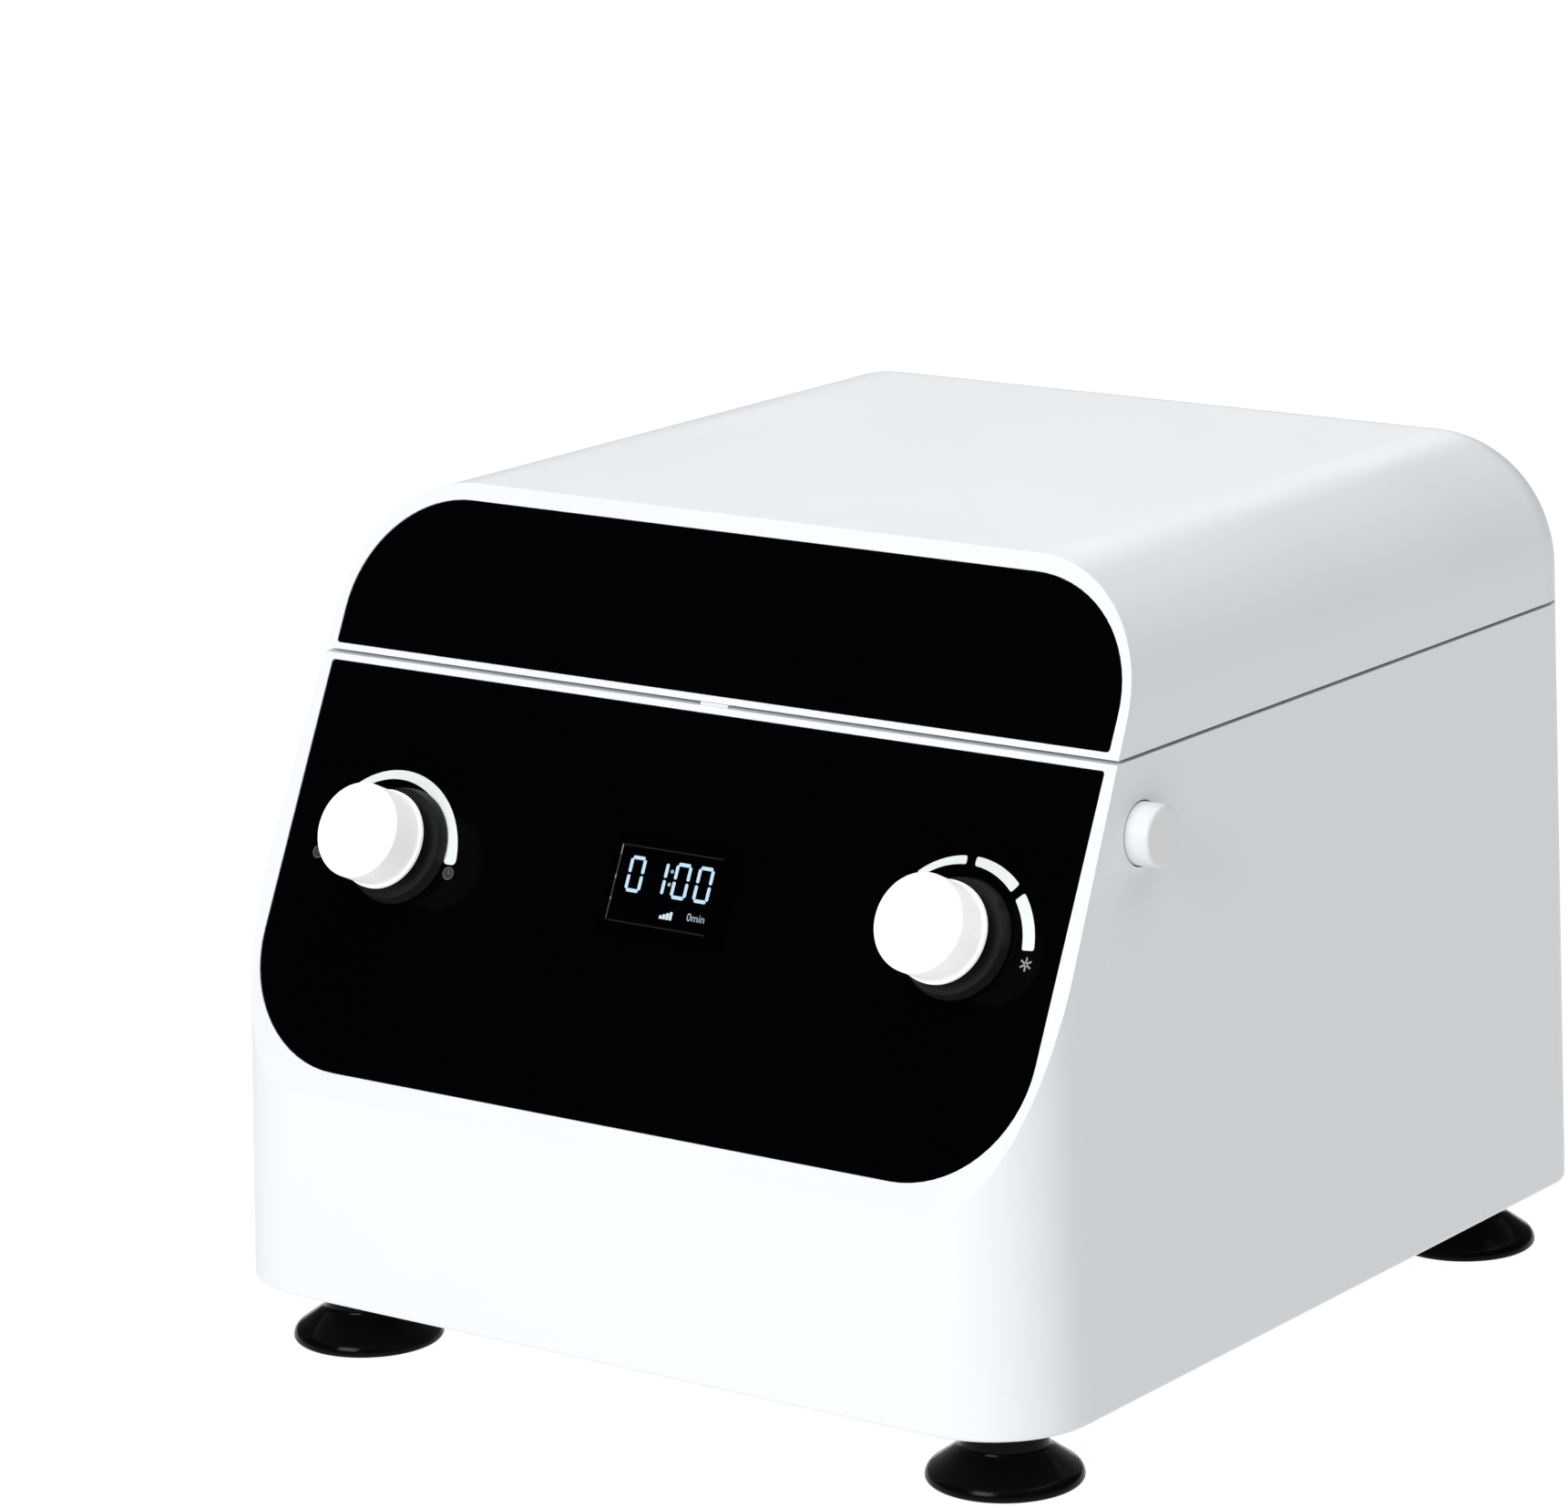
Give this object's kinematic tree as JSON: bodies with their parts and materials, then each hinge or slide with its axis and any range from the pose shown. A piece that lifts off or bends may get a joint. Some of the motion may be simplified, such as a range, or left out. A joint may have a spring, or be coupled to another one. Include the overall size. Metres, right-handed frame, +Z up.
{
  "type": "benchtop centrifuge",
  "caption": "Small lidded laboratory centrifuge with a rear-hinged lid, a fixed-angle tube rotor, two front knobs and a display on a sloping black front.",
  "frame": {"origin": "on the bench under the middle of the body, in the plane of the feet's soles", "axes": "+Z up, +X to the instrument's left as it faces you (the release button's side), -Y out of the sloping front, +Y out of the back"},
  "size_m": [0.2629, 0.2886, 0.2276],
  "materials": {
    "white_plastic": "satin, fine moulded",
    "black_gloss": "high gloss",
    "window_black": "high gloss, smoked",
    "knob_white": "satin gloss",
    "charcoal_plastic": "matt",
    "feet_rubber": "gloss black",
    "seal_rubber": "matt",
    "bowl_steel": "satin drawn",
    "steel": "machined",
    "screw_steel": "zinc plated",
    "base_steel": "zinc coated sheet",
    "rotor_black": "black anodised",
    "sleeve_alloy": "satin anodised",
    "motor_grey": "powder coated",
    "copper_winding": "enamelled winding on iron",
    "magnet_iron": "dark sintered",
    "board_green": "solder mask",
    "display_glass": "smoked",
    "pin_brass": "nickel flashed",
    "transformer_yellow": "taped winding"
  },
  "bodies": {
    "housing": {"housing_shell": "white_plastic", "base_plate": "base_steel", "base_screws": "screw_steel", "foot_front_left": "feet_rubber", "foot_front_right": "feet_rubber", "foot_rear_left": "feet_rubber", "foot_rear_right": "feet_rubber", "control_panel": "black_gloss", "display_window": "window_black", "display_module": "display_glass", "control_board": "board_green", "rotary_encoders": "steel", "encoder_nuts": "screw_steel", "chamber_bowl": "bowl_steel", "shaft_seal": "seal_rubber", "motor_housing": "motor_grey", "motor_stator": "copper_winding", "motor_bearings": "steel", "motor_mount_plate": "base_steel", "motor_dampers": "seal_rubber", "button_guide": "charcoal_plastic", "button_microswitch": "charcoal_plastic", "button_spring": "steel", "lock_solenoid": "motor_grey", "hinge_body_leaves": "steel", "hinge_pins": "steel", "power_inlet": "charcoal_plastic", "inlet_pins": "pin_brass", "switch_frame": "charcoal_plastic", "rear_screws": "screw_steel", "inner_screws": "screw_steel", "power_board": "board_green", "power_transformer": "transformer_yellow"},
    "lid": {"lid_shell": "white_plastic", "lid_panel": "black_gloss", "lid_liner": "white_plastic", "lid_gasket": "seal_rubber", "lid_hook": "steel", "lid_screws": "screw_steel", "hinge_lid_leaves": "steel"},
    "rotor": {"motor_shaft": "steel", "motor_magnet": "magnet_iron", "rotor_head": "rotor_black", "rotor_nut": "steel", "tube_sleeve_1": "sleeve_alloy", "tube_sleeve_2": "sleeve_alloy", "tube_sleeve_3": "sleeve_alloy", "tube_sleeve_4": "sleeve_alloy", "tube_sleeve_5": "sleeve_alloy", "tube_sleeve_6": "sleeve_alloy"},
    "timer_knob": {"timer_knob_cap": "knob_white", "timer_knob_skirt": "charcoal_plastic", "timer_shaft": "steel"},
    "speed_knob": {"speed_knob_cap": "knob_white", "speed_knob_skirt": "charcoal_plastic", "speed_shaft": "steel"},
    "button": {"release_button": "white_plastic"},
    "bolt": {"lock_bolt": "steel"},
    "rocker": {"switch_rocker": "charcoal_plastic"},
    "drawer": {"fuse_drawer": "charcoal_plastic"}
  },
  "joints": [
    {"name": "lid_hinge", "type": "hinge", "parent": "housing", "child": "lid", "pos_m": [0, 0.1408, 0.1832], "axis": [-1, 0, 0], "range_deg": [0, 78]},
    {"name": "rotor_spin", "type": "hinge", "parent": "housing", "child": "rotor", "pos_m": [0, 0.02745, 0.1276], "axis": [0, 0, 1], "continuous": true},
    {"name": "timer_knob_turn", "type": "hinge", "parent": "housing", "child": "timer_knob", "pos_m": [-0.085, -0.11494, 0.13841], "axis": [0, -0.9041, 0.4274], "range_deg": [-90, 90]},
    {"name": "speed_knob_turn", "type": "hinge", "parent": "housing", "child": "speed_knob", "pos_m": [0.0918, -0.11494, 0.13841], "axis": [0, -0.9041, 0.4274], "range_deg": [-90, 90]},
    {"name": "release_button_press", "type": "slide", "parent": "housing", "child": "button", "axis": [-1, 0, 0], "range_m": [0, 0.0035], "stiffness_N_per_m": 400, "springref_m": -0.002, "deforming": ["button_spring"]},
    {"name": "lock_bolt_slide", "type": "slide", "parent": "housing", "child": "bolt", "axis": [-1, 0, 0], "range_m": [0, 0.008]},
    {"name": "power_rocker_tilt", "type": "hinge", "parent": "housing", "child": "rocker", "pos_m": [0.016, 0.1348, 0.0596], "axis": [-1, 0, 0], "range_deg": [0, 24]},
    {"name": "fuse_drawer_slide", "type": "slide", "parent": "housing", "child": "drawer", "axis": [0, 1, 0], "range_m": [0, 0.014]}
  ]
}
